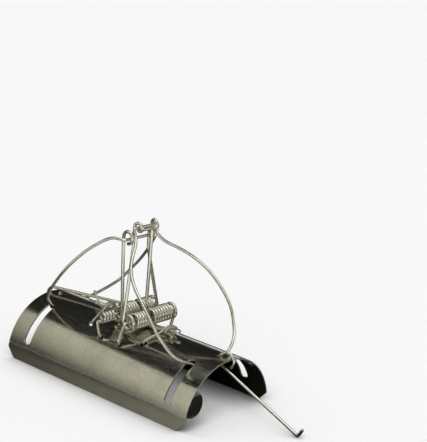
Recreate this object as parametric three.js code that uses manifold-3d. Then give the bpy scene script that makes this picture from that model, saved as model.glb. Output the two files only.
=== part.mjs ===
// Tunnel mole trap: a half round sheet tunnel with two sprung wire strike loops,
// shown after both springs have gone off. Millimetres, +Z up.
// +X runs along the tunnel, +Y across it, and z = 0 is the floor under the tunnel's edges.
// All places are measured from the tunnel's middle; the last lines move the whole over its own.
import * as THREE from "three";
import { mergeVertices } from "three/addons/utils/BufferGeometryUtils.js";
import Module from "manifold-3d";

const wasm = await Module();
wasm.setup();

// Driving dimensions
const clearance = 0.3; // running gap between pieces that touch or pass
const overrun = 2; // how far a cutter runs past what it cuts
const turnGap = 0.5; // open gap between neighbouring turns of a coil

const tunnel = {
  length: 150,
  radius: 34.5, // outside
  sheet: 0.9,
  cornerCut: 6, // chamfer on the four floor corners
  arcSteps: 36,
};
const slot = { fromEnd: 15.6, width: 5.4, lowAngle: 19, highAngle: 69.5, arcSteps: 9 };
const springHole = { fromMiddle: 7.8, angle: 54.5, diameter: 4.4 };
const tieHole = { fromMiddle: 21.5, angle: 65.5, diameter: 4.4 };
const hingeHole = { fromEnd: 7.6, diameter: 3.4 };
const ear = { radius: 7.5, inset: 2, angle: 28.35 }; // rounded stop bent in from an end edge

const springWire = 2;
const loopWire = 1.8;
const pinWire = 1.8;
const axleWire = 1.8;
const tieWire = 1.2;

const coilRadius = 4.2; // to the middle of the wire
const coilHeight = tunnel.radius + coilRadius + springWire / 2 + clearance;
const turnPitch = springWire + turnGap;
const roofInside = tunnel.radius - tunnel.sheet;

// Each spring: where its two coils meet the reaction hairpin, their turns, and the hairpin's tip
const leftSpring = {
  nearInner: 6,
  nearTurns: 4.5,
  farTurns: 4,
  hairpinBend: 15,
  hairpinTip: 34,
  tipShift: -7,
  tipRise: 3.5, // above the crown
};
const rightSpring = {
  nearInner: 0.4,
  nearTurns: 4.5,
  farTurns: 6.25,
  hairpinBend: 15,
  hairpinTip: 32,
  tipShift: 1,
  tipRise: 3.5,
};

// The bars that the loops hang from, above the coils' axis, in the released place
const leftBar = { x: 0.9, rise: 47.4, armOut: 9.6 };
const rightBar = { x: 5.4, rise: 54.8, armOut: 7 };

// The eyes round the bars, each off its bar's middle by a little
const eyeRadius = { leftNear: 3.6, leftFar: 2.6, right: 2.5 };
const eyeOn = (bar, radius, ahead, above) => ({
  radius,
  x: bar.x + ahead,
  height: coilHeight + bar.rise + above,
});
const eyePlay = { leftNear: 1.1, leftFar: 0.3, right: 0.3, rightAhead: 0.2 };
const leftNearEye = eyeOn(leftBar, eyeRadius.leftNear, 0, eyePlay.leftNear);
const leftFarEye = eyeOn(leftBar, eyeRadius.leftFar, 0, eyePlay.leftFar);
const rightEye = eyeOn(rightBar, eyeRadius.right, eyePlay.rightAhead, eyePlay.right);
const rightEyeTurns = 0.75;
const bail = { offset: -1.2, bend: 1.2 }; // crossbar that joins the feet of the right arm's eyes
const stemStraight = 7; // length of an arm below its eye that keeps to the eye's plane
const stemBend = 3;
const dogLeg = { out: 6.5, drop: 3.4, rise: 9, bend: 2 }; // jog of the right far arm past its own coil

// Strike loops: an upper bar in the eyes, two legs, and a lower bar under the roof
const loop = {
  inFromWall: 3.5, // widest place of the legs, from the tunnel's outside
  rootPast: 2.2, // straight bar past each arm before a leg bends away
  barDrop: 3.7, // from the roof's inside to the middle of the lower bar
  rootStraight: 1.6,
  buttGap: 0.6,
};

// The legs: shares of a loop's length, of its half width, and of its bow out of the straight line
// from the upper bar to the lower one. pastSlot is the lower bar's place past the slots' middle
const lengthShares = [0.05, 0.11, 0.18, 0.24, 0.31, 0.4, 0.5, 0.6, 0.67, 0.74, 0.81, 0.88, 0.93, 0.965, 1];
const leftLegs = {
  pastSlot: 1.7,
  bow: 7,
  widthShares: [0.49, 0.58, 0.67, 0.76, 0.83, 0.9, 0.95, 0.97, 0.97, 0.93, 0.8, 0.64, 0.53, 0.46, 0.38],
  nearShares: [0.66, 0.9, 0.98, 0.98, 0.92, 0.81, 0.62, 0.4, 0.21, 0.06, 0, 0.02, 0.01, -0.05, 0],
  farShares: [0, 0.03, 0.05, 0.08, 0.1, 0.08, 0.05, 0.03, -0.02, -0.1, -0.17, -0.18, -0.14, -0.08, 0],
};
const rightLegs = {
  pastSlot: 1.5,
  bow: 5.4,
  widthShares: [0.32, 0.41, 0.58, 0.72, 0.84, 0.93, 0.97, 0.98, 0.975, 0.96, 0.91, 0.83, 0.71, 0.57, 0.38],
  nearShares: [-0.2, -0.27, -0.35, -0.33, -0.19, 0.05, 0.28, 0.37, 0.36, 0.31, 0.23, 0.08, 0.01, 0.03, 0],
  farShares: [-0.75, -0.85, -0.58, -0.37, -0.15, 0.15, 0.42, 0.58, 0.6, 0.45, 0.25, 0.08, 0.01, 0.04, 0],
};
const loopHalfWidth = tunnel.radius - loop.inFromWall;
const lowerBarShare = 0.2;

// Trigger pins: a ring through the crown hole, and a leg down to a turned up foot
const pin = {
  ringRadius: 4.7,
  ringDrop: 1.5, // ring's middle below the crown
  legOut: 47.1, // foot's corner out from the ring's middle, with the foot on the floor
  footHeight: 0.7,
  footTip: 5.5,
  bend: 1.6,
  rightTurn: 11.7, // degrees that each leg has swung round its hole, out of the middle plane
  leftTurn: 12,
};
const ringHeight = tunnel.radius - pin.ringDrop;
const ringFromHole = Math.sqrt(pin.ringRadius ** 2 - (pin.ringDrop - tunnel.sheet / 2) ** 2);

const axle = {
  curlRadius: 2.5,
  curlTurns: 4,
  curlStart: 10.8,
  leftFarBend: 25.4,
  rightNearBend: 16.4,
  rightFarBend: 25.4,
  holeRun: 2.6, // straight run outside the hole
  insideReach: 4,
  bend: 3.5,
};
const tie = {
  knotOut: 26.5,
  knotTurns: 2,
  knotPitch: 1.7,
  knotWide: 4.4,
  knotTall: 2,
  leftTail: { out: 37, across: -3, rise: 10.5 }, // free end, above the crown
  rightTail: { out: 34, across: -6, rise: 1.6 },
  hook: 2.2,
  insideReach: 3,
  holeRun: 1.4,
  bend: 2,
};

// Sides and steps of the wires, and the sweeps of their bent ends
const wireSides = 7;
const coilSides = 5;
const stepsPerTurn = 8;
const ringSteps = 16; // per turn of a trigger pin's ring
const holeSides = 14;
const eyeSweep = 280;
const hubSweep = 295;
const pinSweep = 300;
const degrees = Math.PI / 180;
const fineStep = 0.8; // spacing of a smooth run before it is thinned
const longStep = 7;
const turnStep = 10 * degrees;

const at = (x, y, z) => new THREE.Vector3(x, y, z);

// A path that passes through its own list of points, with one section at each
class WirePath extends THREE.Curve {
  constructor(points) {
    super();
    this.points = points;
  }

  getPoint(t, target = new THREE.Vector3()) {
    const place = t * (this.points.length - 1);
    const index = Math.min(Math.floor(place), this.points.length - 2);
    return target.copy(this.points[index]).lerp(this.points[index + 1], place - index);
  }

  getPointAt(t, target) {
    return this.getPoint(t, target);
  }

  getTangentAt(t, target) {
    return this.getTangent(t, target);
  }
}

// Round wire of one diameter along the points, closed at both ends
function wireGeometry(points, diameter, sideCount = wireSides) {
  const section = new THREE.Shape();
  for (let side = 0; side < sideCount; side += 1) {
    const angle = (2 * Math.PI * side) / sideCount;
    const place = [(diameter / 2) * Math.cos(angle), (diameter / 2) * Math.sin(angle)];
    if (side === 0) section.moveTo(...place);
    else section.lineTo(...place);
  }
  section.closePath();
  return new THREE.ExtrudeGeometry(section, {
    steps: points.length - 1,
    bevelEnabled: false,
    extrudePath: new WirePath(points),
  });
}

// Corners of a bent wire, each inner corner rounded to the bend radius
function bend(corners, radius) {
  const points = [corners[0].clone()];
  for (let i = 1; i < corners.length - 1; i += 1) {
    const before = corners[i - 1].clone().sub(corners[i]);
    const after = corners[i + 1].clone().sub(corners[i]);
    const room = Math.min(before.length(), after.length()) / 2;
    before.normalize();
    after.normalize();
    const turn = Math.PI - before.angleTo(after);
    const reach = Math.min(radius * Math.tan(turn / 2), room);
    const start = corners[i].clone().addScaledVector(before, reach);
    const end = corners[i].clone().addScaledVector(after, reach);
    const steps = Math.max(1, Math.round(turn / (2 * turnStep)));
    points.push(...new THREE.QuadraticBezierCurve3(start, corners[i], end).getPoints(steps));
  }
  points.push(corners.at(-1).clone());
  return points.filter((point, i) => i === 0 || point.distanceTo(points[i - 1]) > clearance / 3);
}

// Smooth run through the points, with fewer sections where it is nearly straight
function flow(points) {
  const curve = new THREE.CatmullRomCurve3(points, false, "centripetal");
  const fine = curve.getSpacedPoints(Math.round(curve.getLength() / fineStep));
  const kept = [fine[0]];
  let last = 0;
  for (let i = 1; i < fine.length - 1; i += 1) {
    const before = fine[last + 1].clone().sub(fine[last]);
    const after = fine[i + 1].clone().sub(fine[i]);
    const far = fine[i].distanceTo(fine[last]) > longStep;
    if (far || before.angleTo(after) > turnStep) {
      kept.push(fine[i]);
      last = i;
    }
  }
  kept.push(fine.at(-1));
  return kept;
}

// Turns round an axis along Y: start angle and sweep in degrees, moving along Y as they go
function turns(centre, radius, from, sweep, travel, perTurn = stepsPerTurn) {
  const count = Math.max(2, Math.round((Math.abs(sweep) / 360) * perTurn));
  return Array.from({ length: count + 1 }, (_, i) => {
    const share = i / count;
    const angle = (from + sweep * share) * degrees;
    return at(
      centre.x + radius * Math.cos(angle),
      centre.y + travel * share,
      centre.z + radius * Math.sin(angle),
    );
  });
}

// Least open gap of one wire to itself, between stretches at least a given length apart
function selfGap(points, diameter, apart) {
  const path = [0];
  for (let i = 1; i < points.length; i += 1) path.push(path[i - 1] + points[i].distanceTo(points[i - 1]));
  const near = new THREE.Vector3();
  let least = Infinity;
  for (let i = 0; i < points.length - 1; i += 1) {
    const stretch = new THREE.Line3(points[i], points[i + 1]);
    for (let j = 0; j < points.length - 1; j += 1) {
      if (path[j] - path[i + 1] < apart) continue;
      for (const share of [0, 0.25, 0.5, 0.75, 1]) {
        const point = points[j].clone().lerp(points[j + 1], share);
        stretch.closestPointToPoint(point, true, near);
        least = Math.min(least, near.distanceTo(point));
      }
    }
  }
  return least - diameter;
}

// A closed geometry as a solid that can be cut, and back
function toSolid(geometry) {
  const bare = geometry.clone();
  bare.deleteAttribute("normal");
  bare.deleteAttribute("uv");
  const merged = mergeVertices(bare);
  return new wasm.Manifold(
    new wasm.Mesh({
      numProp: 3,
      vertProperties: new Float32Array(merged.attributes.position.array),
      triVerts: new Uint32Array(merged.index.array),
    }),
  );
}

function toGeometry(solid) {
  const mesh = solid.getMesh();
  const geometry = new THREE.BufferGeometry();
  geometry.setAttribute("position", new THREE.BufferAttribute(new Float32Array(mesh.vertProperties), 3));
  geometry.setIndex(new THREE.BufferAttribute(new Uint32Array(mesh.triVerts), 1));
  geometry.computeVertexNormals();
  return geometry;
}

// A Y-Z outline extruded along X, centred on a place along the tunnel
function alongTunnel(shape, length, x) {
  const geometry = new THREE.ExtrudeGeometry(shape, { depth: length, bevelEnabled: false });
  geometry.translate(0, 0, -length / 2);
  geometry.applyMatrix4(new THREE.Matrix4().makeBasis(at(0, 1, 0), at(0, 0, 1), at(1, 0, 0)));
  geometry.translate(x, 0, 0);
  return geometry;
}

// Band between two radii, over angles measured from the near floor edge
function band(inner, outer, fromAngle, toAngle, steps) {
  const arc = (radius) =>
    Array.from({ length: steps + 1 }, (_, i) => {
      const angle = (fromAngle + ((toAngle - fromAngle) * i) / steps) * degrees;
      return new THREE.Vector2(-radius * Math.cos(angle), radius * Math.sin(angle));
    });
  return new THREE.Shape([...arc(outer), ...arc(inner).reverse()]);
}

// Round cutter square to the sheet, at a place along the tunnel and an angle round it
function radialCutter(x, angle, diameter) {
  const from = roofInside - overrun;
  const to = tunnel.radius + overrun;
  const cutter = new THREE.CylinderGeometry(diameter / 2, diameter / 2, to - from, holeSides);
  cutter.translate(0, (from + to) / 2, 0);
  cutter.rotateX((180 - angle) * degrees);
  cutter.translate(x, 0, 0);
  return toSolid(cutter);
}

function slotCutter(x, mirrored) {
  const endAngle = Math.asin(slot.width / 2 / tunnel.radius) / degrees;
  const low = slot.lowAngle + endAngle;
  const high = slot.highAngle - endAngle;
  const outline = band(roofInside - overrun, tunnel.radius + overrun, low, high, slot.arcSteps);
  const cutter = toSolid(alongTunnel(outline, slot.width, x))
    .add(radialCutter(x, low, slot.width))
    .add(radialCutter(x, high, slot.width));
  return mirrored ? cutter.mirror([0, 1, 0]) : cutter;
}

function cornerCutter(x, side) {
  const edge = tunnel.cornerCut * Math.SQRT2;
  const cutter = new THREE.BoxGeometry(edge, 2 * tunnel.cornerCut, edge);
  cutter.rotateY(Math.PI / 4);
  cutter.translate(x, side * tunnel.radius, 0);
  return toSolid(cutter);
}

// Rounded ear bent in from the near edge of the right end
function earSolid() {
  const face = (radius, y, z, count) => {
    const disc = new THREE.CylinderGeometry(radius, radius, tunnel.sheet, count);
    disc.rotateZ(Math.PI / 2);
    disc.translate((tunnel.length - tunnel.sheet) / 2, y, z);
    return toSolid(disc);
  };
  const inside = face(roofInside + tunnel.sheet / 2, 0, 0, 2 * tunnel.arcSteps);
  const out = roofInside - ear.inset;
  const angle = ear.angle * degrees;
  const disc = face(ear.radius, -out * Math.cos(angle), out * Math.sin(angle), 2 * holeSides);
  return disc.intersect(inside);
}

function tunnelGeometry() {
  const outline = band(roofInside, tunnel.radius, 0, 180, tunnel.arcSteps);
  let sheet = toSolid(alongTunnel(outline, tunnel.length, 0));
  sheet = sheet.add(earSolid()).add(earSolid().rotate([0, 0, 180]));
  for (const end of [-1, 1]) {
    const slotPlace = end * (tunnel.length / 2 - slot.fromEnd);
    const hingePlace = end * (tunnel.length / 2 - hingeHole.fromEnd);
    sheet = sheet.subtract(radialCutter(hingePlace, 90, hingeHole.diameter));
    for (const side of [-1, 1]) {
      sheet = sheet.subtract(slotCutter(slotPlace, side > 0));
      sheet = sheet.subtract(cornerCutter((end * tunnel.length) / 2, side));
      for (const hole of [springHole, tieHole]) {
        const angle = side < 0 ? hole.angle : 180 - hole.angle;
        sheet = sheet.subtract(radialCutter(end * hole.fromMiddle, angle, hole.diameter));
      }
    }
  }
  return toGeometry(sheet);
}

// Both coils of one spring and the hairpin between them, one unbroken wire
function coilPoints(spring, end) {
  const x = end * springHole.fromMiddle;
  const nearTravel = spring.nearTurns * turnPitch;
  const farTravel = spring.farTurns * turnPitch;
  const farInner = spring.nearInner + turnPitch;
  const nearCentre = at(x, spring.nearInner - nearTravel, coilHeight);
  const farCentre = at(x, farInner, coilHeight);
  const bottom = coilHeight - coilRadius;
  const nearSweep = end * spring.nearTurns * 360;
  const farSweep = -end * spring.farTurns * 360;
  const near = turns(nearCentre, coilRadius, -90 - nearSweep, nearSweep, nearTravel);
  const far = turns(farCentre, coilRadius, -90, farSweep, farTravel);
  const tipNear = spring.nearInner + spring.tipShift;
  const tipHeight = tunnel.radius + spring.tipRise;
  const hairpin = bend(
    [
      at(end * springHole.fromMiddle, spring.nearInner, bottom),
      at(end * spring.hairpinBend, spring.nearInner, bottom),
      at(end * spring.hairpinTip, tipNear, tipHeight),
      at(end * (spring.hairpinTip + turnPitch / 2), tipNear + turnPitch / 2, tipHeight),
      at(end * spring.hairpinTip, tipNear + turnPitch, tipHeight),
      at(end * spring.hairpinBend, farInner, bottom),
      at(end * springHole.fromMiddle, farInner, bottom),
    ],
    turnPitch / 2,
  );
  return [...near, ...hairpin.slice(1, -1), ...far];
}

// An arm's last turn round the axle, ending where its stem leaves upwards
function hub(y, end, leaving) {
  const centre = at(end * springHole.fromMiddle, y, coilHeight);
  const direction = leaving === 0 ? 1 : -1;
  return turns(centre, coilRadius, leaving - direction * hubSweep, direction * hubSweep, 0);
}

// An open eye round a loop's bar, entered upwards on its left side
const openEye = (eye, y) => turns(at(eye.x, y, eye.height), eye.radius, 180, -eyeSweep, 0);

// A stem between the hub and the eye: it slants across, then keeps to the eye's plane
const stemTo = (eye, y) => [
  at(eye.x - eye.radius, y, eye.height - eye.radius - stemStraight),
  at(eye.x - eye.radius, y, eye.height),
];

function leftArmPoints(side) {
  const near = side < 0;
  const spring = leftSpring;
  const nearHub = spring.nearInner - spring.nearTurns * turnPitch - turnPitch;
  const farHub = spring.nearInner + turnPitch + spring.farTurns * turnPitch + turnPitch;
  const eye = near ? leftNearEye : leftFarEye;
  const ring = hub(near ? nearHub : farHub, -1, 0);
  const round = openEye(eye, side * leftBar.armOut);
  const stem = bend([ring.at(-1), ...stemTo(eye, side * leftBar.armOut)], stemBend);
  return [...ring, ...stem.slice(1, -1), ...round];
}

// Both right arms, their eyes and the bail between them, one wire
function rightArmPoints() {
  const nearHub = rightSpring.nearInner - (rightSpring.nearTurns + 1) * turnPitch;
  const farHub = rightSpring.nearInner + (rightSpring.farTurns + 2) * turnPitch;
  const drift = rightEyeTurns * turnPitch;
  const foot = rightEye.height - rightEye.radius;
  const eyeAt = (side) =>
    turns(
      at(rightEye.x, side * rightBar.armOut, rightEye.height),
      rightEye.radius,
      180,
      -rightEyeTurns * 360,
      -side * drift,
    );
  const nearRing = hub(nearHub, 1, 180);
  const nearStem = bend([nearRing.at(-1), ...stemTo(rightEye, -rightBar.armOut)], stemBend);
  const inner = rightBar.armOut - drift;
  const bar = bend(
    [
      at(rightEye.x, -inner, foot),
      at(rightEye.x + bail.offset, -inner, foot),
      at(rightEye.x + bail.offset, inner, foot),
      at(rightEye.x, inner, foot),
    ],
    bail.bend,
  );
  const axisX = springHole.fromMiddle;
  const low = coilHeight - dogLeg.drop;
  const farRing = turns(at(axisX, farHub, coilHeight), coilRadius, -90 + hubSweep, -hubSweep, 0);
  const farStem = bend(
    [
      farRing.at(-1),
      at(axisX - dogLeg.out, farHub, farRing.at(-1).z),
      at(axisX - dogLeg.out, rightBar.armOut, low),
      at(axisX - dogLeg.out, rightBar.armOut, coilHeight + dogLeg.rise),
      ...stemTo(rightEye, rightBar.armOut),
    ],
    dogLeg.bend,
  );
  return [
    ...nearRing,
    ...nearStem.slice(1, -1),
    ...eyeAt(-1),
    ...bar.slice(1, -1),
    ...eyeAt(1).reverse(),
    ...farStem.slice(1, -1).reverse(),
    ...farRing.slice().reverse(),
  ];
}

// A strike loop: its upper bar, two bowed legs, and the lower bar under the roof
function loopPoints(bar, end, legs) {
  const reach = tunnel.length / 2 - slot.fromEnd + legs.pastSlot;
  const rootOut = bar.armOut + loop.rootPast;
  const top = at(bar.x, 0, coilHeight + bar.rise);
  const foot = at(end * reach, 0, roofInside - loop.barDrop);
  const length = top.distanceTo(foot);
  const along = foot.clone().sub(top).normalize();
  const outward = at(-along.z * end, 0, along.x * end);
  const place = (lengthShare, y, bowShare) =>
    top
      .clone()
      .addScaledVector(along, lengthShare * length)
      .addScaledVector(outward, bowShare * legs.bow)
      .add(at(0, y, 0));
  const leg = (side, bowShares) => [
    place(0, side * (rootOut - loop.rootStraight), 0),
    place(0, side * rootOut, 0),
    ...lengthShares.map((share, i) =>
      place(share, side * legs.widthShares[i] * loopHalfWidth, bowShares[i]),
    ),
    place(1, side * lowerBarShare * loopHalfWidth, 0),
    place(1, (side * loop.buttGap) / 2, 0),
  ];
  return flow([...leg(-1, legs.nearShares).reverse(), ...leg(1, legs.farShares)]);
}

// A trigger pin about its ring's middle, as it lies with its foot on the floor
function pinPoints() {
  const corner = at(pin.legOut, 0, pin.footHeight - ringHeight);
  const leaving = Math.atan2(corner.z, corner.x) - Math.acos(pin.ringRadius / corner.length());
  const ring = turns(at(0, 0, 0), pin.ringRadius, leaving / degrees - pinSweep, pinSweep, 0, ringSteps);
  const direction = corner.clone().sub(ring.at(-1)).normalize();
  const tip = corner.clone().addScaledVector(at(-direction.z, 0, direction.x), pin.footTip);
  return [...ring, ...bend([ring.at(-1), corner, tip], pin.bend).slice(1)];
}

// How far the left pin is folded up and over, until its foot stands on the crown
function foldedOver() {
  const drop = ringHeight - pin.footHeight;
  const reach = Math.hypot(pin.legOut, drop);
  const across = (reach - ringFromHole) * Math.sin(pin.leftTurn * degrees) - pinWire / 2;
  const corner = Math.sqrt(tunnel.radius ** 2 - across ** 2) + clearance + pin.footTip;
  return Math.PI - Math.asin((corner - ringHeight) / reach) + Math.asin(drop / reach);
}

// A point at a hole through the sheet, a distance outside it
function atHole(hole, end, side, outside) {
  const radius = tunnel.radius + outside;
  const angle = hole.angle * degrees;
  return at(end * hole.fromMiddle, side * radius * Math.cos(angle), radius * Math.sin(angle));
}

// A spring's axle: through the coils, bent down at both ends into the spring holes
function axlePoints(end, nearEnd, farBend) {
  const x = end * springHole.fromMiddle;
  const far = [
    at(x, farBend, coilHeight),
    atHole(springHole, end, 1, axle.holeRun),
    atHole(springHole, end, 1, -axle.insideReach),
  ];
  return [...nearEnd, ...bend([nearEnd.at(-1), ...far], axle.bend).slice(1)];
}

// The left axle's near end is curled into a small open coil before it goes down
function leftNearEnd() {
  const pitch = axleWire + turnGap;
  const travel = axle.curlTurns * pitch;
  const x = -springHole.fromMiddle;
  const start = at(x, -axle.curlStart - travel, coilHeight);
  const curl = turns(start, axle.curlRadius, -90, axle.curlTurns * 360, travel);
  const down = bend(
    [
      atHole(springHole, -1, -1, -axle.insideReach),
      atHole(springHole, -1, -1, axle.holeRun),
      curl[0].clone().add(at(-axle.curlRadius, -pitch / 2, 0)),
      curl[0],
    ],
    axle.bend,
  );
  return [...down.slice(0, -1), ...curl, at(x, -axle.curlStart + pitch, coilHeight)];
}

const rightNearEnd = () =>
  bend(
    [
      atHole(springHole, 1, -1, -axle.insideReach),
      atHole(springHole, 1, -1, axle.holeRun),
      at(springHole.fromMiddle, -axle.rightNearBend, coilHeight),
      at(springHole.fromMiddle, 0, coilHeight),
    ],
    axle.bend,
  );

// Where a hairpin's middle lies at a distance out from the tunnel's middle
function hairpinAt(spring, out) {
  const share = (out - spring.hairpinBend) / (spring.hairpinTip - spring.hairpinBend);
  const bottom = coilHeight - coilRadius;
  const y = spring.nearInner + turnPitch / 2 + share * spring.tipShift;
  return at(out, y, bottom + share * (tunnel.radius + spring.tipRise - bottom));
}

// A tie wire: up from its hole, twice round the hairpin, and a free tail with a hooked end
function tiePoints(spring, end, side, free) {
  const middle = hairpinAt(spring, tie.knotOut);
  const count = tie.knotTurns * stepsPerTurn;
  const knot = Array.from({ length: count + 1 }, (_, i) => {
    const angle = (2 * Math.PI * i) / stepsPerTurn;
    const out = tie.knotOut + ((i / count) * tie.knotTurns - tie.knotTurns / 2) * tie.knotPitch;
    const y = middle.y + side * tie.knotWide * Math.cos(angle);
    return at(end * out, y, middle.z + tie.knotTall * Math.sin(angle));
  });
  const start = bend(
    [atHole(tieHole, end, side, -tie.insideReach), atHole(tieHole, end, side, tie.holeRun), knot[0]],
    tie.bend,
  );
  const tip = at(end * free.out, middle.y + free.across, tunnel.radius + free.rise);
  const tail = bend(
    [knot.at(-1), tip, tip.clone().add(at(-end * tie.hook, 0, -tie.hook / 2))],
    tie.hook / 3,
  );
  return [...start.slice(0, -1), ...knot, ...tail.slice(1)];
}

const metal = (color, roughness) => new THREE.MeshStandardMaterial({ color, roughness, metalness: 1 });
const tinPlate = metal(0xa8a596, 0.35);
const brightWire = metal(0xc9c6a6, 0.3);
const springSteel = metal(0xbdbb9c, 0.28);

const trap = new THREE.Group();

function add(name, geometry, material) {
  const mesh = new THREE.Mesh(geometry, material);
  mesh.name = name;
  trap.add(mesh);
  return mesh;
}

add("tunnel", tunnelGeometry(), tinPlate);

for (const [name, spring, end] of [["left", leftSpring, -1], ["right", rightSpring, 1]]) {
  const points = coilPoints(spring, end);
  const gap = selfGap(points, springWire, 4 * springWire);
  console.log(`${name} spring: least gap to itself ${gap.toFixed(2)} mm`);
  add(`${name}_spring_coils`, wireGeometry(points, springWire, coilSides), springSteel);
}

add("left_near_spring_arm", wireGeometry(leftArmPoints(-1), springWire), springSteel);
add("left_far_spring_arm", wireGeometry(leftArmPoints(1), springWire), springSteel);
add("right_spring_arms", wireGeometry(rightArmPoints(), springWire), springSteel);

const leftLoop = loopPoints(leftBar, -1, leftLegs);
const rightLoop = loopPoints(rightBar, 1, rightLegs);
add("left_strike_loop", wireGeometry(leftLoop, loopWire), brightWire);
add("right_strike_loop", wireGeometry(rightLoop, loopWire), brightWire);

// Each pin hangs by its ring in an end's crown hole, its leg heading out from the hole
for (const [name, end, heading, fold] of [
  ["right", 1, pin.rightTurn, 0],
  ["left", -1, 180 + pin.leftTurn, foldedOver()],
]) {
  const mesh = add(`${name}_trigger_pin`, wireGeometry(pinPoints(), pinWire), brightWire);
  const out = at(Math.cos(heading * degrees), Math.sin(heading * degrees), 0);
  mesh.position.set(end * (tunnel.length / 2 - hingeHole.fromEnd), 0, ringHeight);
  mesh.position.addScaledVector(out, ringFromHole);
  mesh.rotation.set(0, -fold, heading * degrees, "ZYX");
}

const leftAxle = axlePoints(-1, leftNearEnd(), axle.leftFarBend);
const rightAxle = axlePoints(1, rightNearEnd(), axle.rightFarBend);
add("left_spring_axle", wireGeometry(leftAxle, axleWire), brightWire);
add("right_spring_axle", wireGeometry(rightAxle, axleWire), brightWire);

const leftTie = tiePoints(leftSpring, -1, -1, tie.leftTail);
const rightTie = tiePoints(rightSpring, 1, -1, tie.rightTail);
add("left_tie_wire", wireGeometry(leftTie, tieWire), brightWire);
add("right_tie_wire", wireGeometry(rightTie, tieWire), brightWire);

// The origin is on the floor, under the middle of the whole trap
const whole = new THREE.Box3().setFromObject(trap, true);
trap.position.x = -(whole.min.x + whole.max.x) / 2;

export default trap;
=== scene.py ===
"""Looks of a tunnel mole trap: a rolled sheet tunnel, sprung wire loops and their studio."""

import math

import bpy
from mathutils import Matrix, Vector


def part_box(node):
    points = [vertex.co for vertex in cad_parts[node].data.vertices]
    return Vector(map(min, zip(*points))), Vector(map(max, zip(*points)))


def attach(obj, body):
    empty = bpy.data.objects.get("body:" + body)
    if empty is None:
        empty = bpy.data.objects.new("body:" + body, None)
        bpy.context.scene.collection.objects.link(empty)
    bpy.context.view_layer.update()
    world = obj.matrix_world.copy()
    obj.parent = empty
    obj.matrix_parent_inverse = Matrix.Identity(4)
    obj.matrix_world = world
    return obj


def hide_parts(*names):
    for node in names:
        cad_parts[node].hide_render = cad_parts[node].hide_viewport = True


bl_info = {
    "name": "Tunnel mole trap",
    "version": (1, 0, 0),
    "blender": (4, 5, 0),
    "location": "View3D > Sidebar > Mole trap",
    "description": "Dresses the packed mole trap with rolled tin plate and bright wire",
    "category": "Object",
}

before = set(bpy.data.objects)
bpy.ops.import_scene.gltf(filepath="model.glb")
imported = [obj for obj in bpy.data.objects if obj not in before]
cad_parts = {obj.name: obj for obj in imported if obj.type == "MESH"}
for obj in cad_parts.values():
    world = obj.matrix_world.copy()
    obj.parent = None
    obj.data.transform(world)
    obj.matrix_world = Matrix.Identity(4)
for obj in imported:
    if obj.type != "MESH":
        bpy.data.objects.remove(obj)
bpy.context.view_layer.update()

MM = 0.001
TUNNEL_LOW, TUNNEL_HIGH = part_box("tunnel")
TUNNEL_LENGTH = TUNNEL_HIGH.x - TUNNEL_LOW.x
TUNNEL_RADIUS = TUNNEL_HIGH.y
TUNNEL_MIDDLE = Vector(((TUNNEL_LOW.x + TUNNEL_HIGH.x) / 2, 0, 0))


def linear(hex_text):
    """A colour written as sRGB hex, as the linear values that the shaders take."""
    parts = [int(hex_text[i : i + 2], 16) / 255 for i in (1, 3, 5)]
    values = [p / 12.92 if p <= 0.04045 else ((p + 0.055) / 1.055) ** 2.4 for p in parts]
    return (*values, 1.0)


def metres(name, description, default):
    """A size, shown in the scene's length unit."""
    return bpy.props.FloatProperty(
        name=name, description=description, default=default, unit="LENGTH", precision=5
    )


def turned(name, description, degrees):
    """An angle, given here in degrees."""
    return bpy.props.FloatProperty(
        name=name, description=description, default=math.radians(degrees), subtype="ANGLE"
    )


def plain(name, description, default):
    """A number with no unit."""
    return bpy.props.FloatProperty(name=name, description=description, default=default)


def whole(name, description, default):
    """A count."""
    return bpy.props.IntProperty(name=name, description=description, default=default)


def tint(name, description, hex_text):
    """A colour that a user can pick, given here as sRGB hex."""
    return bpy.props.FloatVectorProperty(
        name=name,
        description=description,
        default=linear(hex_text),
        subtype="COLOR",
        size=4,
        min=0,
        max=1,
    )


class TunnelSizes(bpy.types.PropertyGroup):
    """Sizes of the rolled sheet tunnel."""

    length: metres("Length", "Length along the tunnel", TUNNEL_LENGTH)
    radius: metres("Radius", "Outside radius of the half round", TUNNEL_RADIUS)
    sheet: metres("Sheet", "Thickness of the sheet", 0.9 * MM)
    corner: metres("Corner cut", "Chamfer on the four floor corners", 6 * MM)
    edge: metres("Edge round", "Rounding of the cut edges", 0.14 * MM)
    strip: turned("Strip", "Angle of one strip of the rolled sheet", 1.25)
    slot_end: metres("Slot place", "Slot's middle from the tunnel's end", 15.6 * MM)
    slot_width: metres("Slot width", "Width of the slots", 5.4 * MM)
    slot_low: turned("Slot low end", "Lower end of a slot, round the tunnel", 19)
    slot_high: turned("Slot high end", "Upper end of a slot, round the tunnel", 69.5)
    hole: metres("Hole", "Diameter of the spring and tie holes", 4.4 * MM)
    hinge_hole: metres("Hinge hole", "Diameter of the crown holes", 3.4 * MM)
    spring_hole: metres("Spring hole", "Spring holes from the middle", 7.8 * MM)
    spring_angle: turned("Spring hole angle", "A spring hole's place round the tunnel", 54.5)
    tie_hole: metres("Tie hole", "Tie holes from the middle", 21.5 * MM)
    tie_angle: turned("Tie hole angle", "A tie hole's place round the tunnel", 65.5)
    hinge_end: metres("Hinge place", "Hinge hole from the tunnel's end", 7.6 * MM)
    ear_radius: metres("Ear radius", "Radius of the bent in ears", 7.5 * MM)
    ear_inset: metres("Ear inset", "Ear's middle inside the sheet's inner side", 2 * MM)
    ear_angle: turned("Ear angle", "Ear's place round the tunnel", 28.35)


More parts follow.
